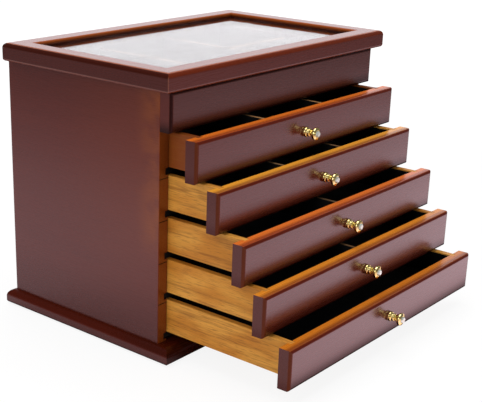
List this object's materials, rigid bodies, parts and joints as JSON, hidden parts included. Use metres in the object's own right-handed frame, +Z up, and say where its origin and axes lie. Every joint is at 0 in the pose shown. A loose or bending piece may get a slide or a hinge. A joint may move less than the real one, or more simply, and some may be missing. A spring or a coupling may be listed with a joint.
{
  "type": "jewellery chest",
  "caption": "Dark wooden jewellery chest with a hinged glass-topped lid over a lined compartment and a stack of overlay-front drawers with brass and crystal knobs.",
  "frame": {"origin": "centre of the felt underside, on the surface that the chest stands on", "axes": "+X to the right seen from the front, the drawers open towards -Y, +Z up"},
  "size_m": [0.3204, 0.3445, 0.2537],
  "materials": {
    "mahogany": "mahogany stain under semi-gloss lacquer",
    "drawer_wood": "honey stain, satin",
    "shelf_black": "black painted board, matt",
    "velvet": "black velvet",
    "divider_wood": "light wood, satin",
    "brass": "polished",
    "crystal": "clear, cut",
    "pane_glass": "clear, polished",
    "base_felt": "felt",
    "bumper_felt": "felt"
  },
  "bodies": {
    "case": {"base_board": "mahogany", "base_felt": "base_felt", "side_panel_left": "mahogany", "side_panel_right": "mahogany", "back_panel": "mahogany", "fixed_front": "mahogany", "compartment_floor": "shelf_black", "compartment_lining": "velvet", "compartment_dividers": "divider_wood", "ring_rolls": "velvet", "hinge_case_leaves": "brass", "hinge_case_screws": "brass", "shelf_1": "shelf_black", "shelf_2": "shelf_black", "shelf_3": "shelf_black", "shelf_4": "shelf_black", "shelf_5": "shelf_black"},
    "lid": {"lid_rail_front": "mahogany", "lid_rail_back": "mahogany", "lid_rail_left": "mahogany", "lid_rail_right": "mahogany", "lid_pane": "pane_glass", "pane_beads": "mahogany", "lid_bumpers": "bumper_felt", "hinge_lid_leaves": "brass", "hinge_lid_screws": "brass"},
    "drawer_1": {"drawer_1_front": "mahogany", "drawer_1_walls": "drawer_wood", "drawer_1_bottom": "drawer_wood", "drawer_1_lining": "velvet", "drawer_1_knob": "brass", "drawer_1_crystal": "crystal", "drawer_1_dividers": "divider_wood"},
    "drawer_2": {"drawer_2_front": "mahogany", "drawer_2_walls": "drawer_wood", "drawer_2_bottom": "drawer_wood", "drawer_2_lining": "velvet", "drawer_2_knob": "brass", "drawer_2_crystal": "crystal", "drawer_2_dividers": "divider_wood"},
    "drawer_3": {"drawer_3_front": "mahogany", "drawer_3_walls": "drawer_wood", "drawer_3_bottom": "drawer_wood", "drawer_3_lining": "velvet", "drawer_3_knob": "brass", "drawer_3_crystal": "crystal", "drawer_3_dividers": "divider_wood"},
    "drawer_4": {"drawer_4_front": "mahogany", "drawer_4_walls": "drawer_wood", "drawer_4_bottom": "drawer_wood", "drawer_4_lining": "velvet", "drawer_4_knob": "brass", "drawer_4_crystal": "crystal", "drawer_4_dividers": "divider_wood"},
    "drawer_5": {"drawer_5_front": "mahogany", "drawer_5_walls": "drawer_wood", "drawer_5_bottom": "drawer_wood", "drawer_5_lining": "velvet", "drawer_5_knob": "brass", "drawer_5_crystal": "crystal"}
  },
  "joints": [
    {"name": "lid_hinge", "type": "hinge", "parent": "case", "child": "lid", "pos_m": [0, 0.0923, 0.2371], "axis": [-1, 0, 0], "range_deg": [0, 94]},
    {"name": "drawer_1_slide", "type": "slide", "parent": "case", "child": "drawer_1", "axis": [0, -1, 0], "range_m": [-0.0272, 0.1174]},
    {"name": "drawer_2_slide", "type": "slide", "parent": "case", "child": "drawer_2", "axis": [0, -1, 0], "range_m": [-0.0504, 0.0942]},
    {"name": "drawer_3_slide", "type": "slide", "parent": "case", "child": "drawer_3", "axis": [0, -1, 0], "range_m": [-0.0778, 0.0668]},
    {"name": "drawer_4_slide", "type": "slide", "parent": "case", "child": "drawer_4", "axis": [0, -1, 0], "range_m": [-0.1001, 0.0445]},
    {"name": "drawer_5_slide", "type": "slide", "parent": "case", "child": "drawer_5", "axis": [0, -1, 0], "range_m": [-0.1272, 0.0174]}
  ]
}
